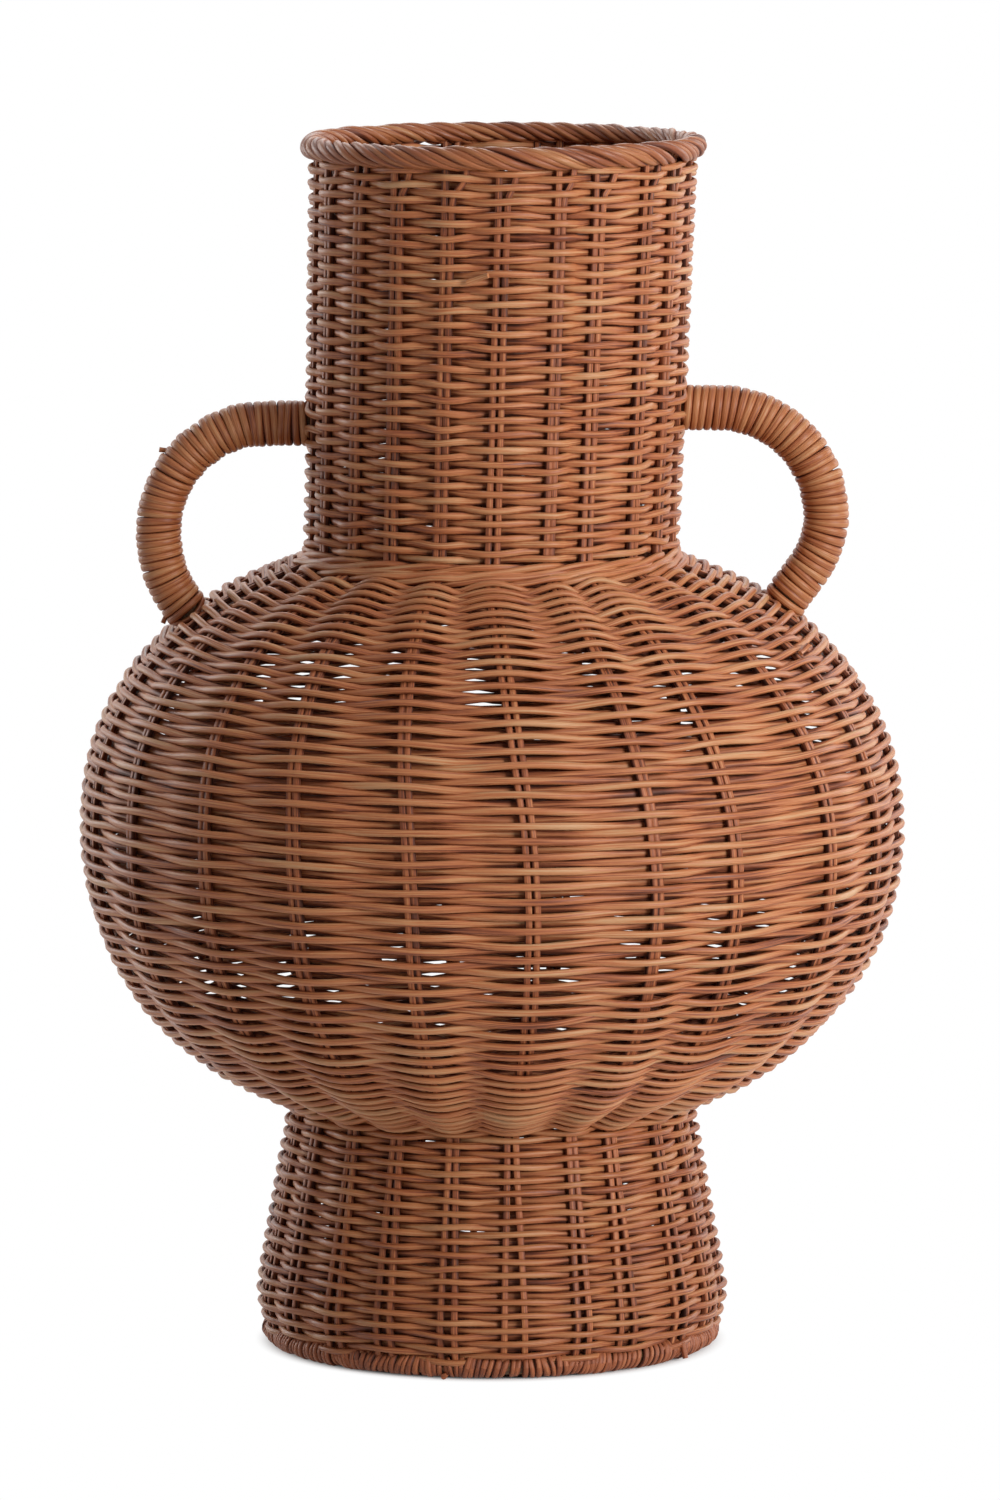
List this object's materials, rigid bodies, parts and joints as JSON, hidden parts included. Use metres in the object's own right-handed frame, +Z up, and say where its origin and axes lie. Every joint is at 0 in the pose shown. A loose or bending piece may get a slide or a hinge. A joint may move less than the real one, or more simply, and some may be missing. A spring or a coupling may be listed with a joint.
{
  "type": "woven_rattan_vase",
  "caption": "Woven rattan vase with a long straight neck, round belly, flared foot, rolled rim and two wrapped loop handles from neck to shoulder",
  "frame": {"origin": "centre of the foot, on the surface that the vase stands on", "axes": "+Z up along the vase's axis, +X towards the right handle, -Y towards the viewer"},
  "size_m": [0.2994, 0.2988, 0.44],
  "materials": {
    "rattan_weave": "satin stained rattan core",
    "rattan_stake": "satin stained rattan core",
    "rattan_rim": "satin stained rattan core",
    "rattan_wrap": "satin stained split rattan",
    "rattan_binding": "satin stained fine split rattan",
    "rattan_pole": "matt bare rattan pole"
  },
  "bodies": {
    "root": {"neck_weave": "rattan_weave", "body_weave": "rattan_weave", "foot_weave": "rattan_weave", "rolled_rim": "rattan_rim", "foot_hoop": "rattan_pole", "hoop_binding": "rattan_binding", "woven_floor": "rattan_weave", "left_handle_core": "rattan_pole", "right_handle_core": "rattan_pole", "left_handle_wrap": "rattan_wrap", "right_handle_wrap": "rattan_wrap", "stake_01_a": "rattan_stake", "stake_01_b": "rattan_stake", "stake_02_a": "rattan_stake", "stake_02_b": "rattan_stake", "stake_03_a": "rattan_stake", "stake_03_b": "rattan_stake", "stake_04_a": "rattan_stake", "stake_04_b": "rattan_stake", "stake_05_a": "rattan_stake", "stake_05_b": "rattan_stake", "stake_06_a": "rattan_stake", "stake_06_b": "rattan_stake", "stake_07_a": "rattan_stake", "stake_07_b": "rattan_stake", "stake_08_a": "rattan_stake", "stake_08_b": "rattan_stake", "stake_09_a": "rattan_stake", "stake_09_b": "rattan_stake", "stake_10_a": "rattan_stake", "stake_10_b": "rattan_stake", "stake_11_a": "rattan_stake", "stake_11_b": "rattan_stake", "stake_12_a": "rattan_stake", "stake_12_b": "rattan_stake", "stake_13_a": "rattan_stake", "stake_13_b": "rattan_stake", "stake_14_a": "rattan_stake", "stake_14_b": "rattan_stake", "stake_15_a": "rattan_stake", "stake_15_b": "rattan_stake", "stake_16_a": "rattan_stake", "stake_16_b": "rattan_stake", "stake_17_a": "rattan_stake", "stake_17_b": "rattan_stake", "stake_18_a": "rattan_stake", "stake_18_b": "rattan_stake", "stake_19_a": "rattan_stake", "stake_19_b": "rattan_stake", "stake_20_a": "rattan_stake", "stake_20_b": "rattan_stake", "stake_21_a": "rattan_stake", "stake_21_b": "rattan_stake", "stake_22_a": "rattan_stake", "stake_22_b": "rattan_stake"}
  },
  "joints": []
}
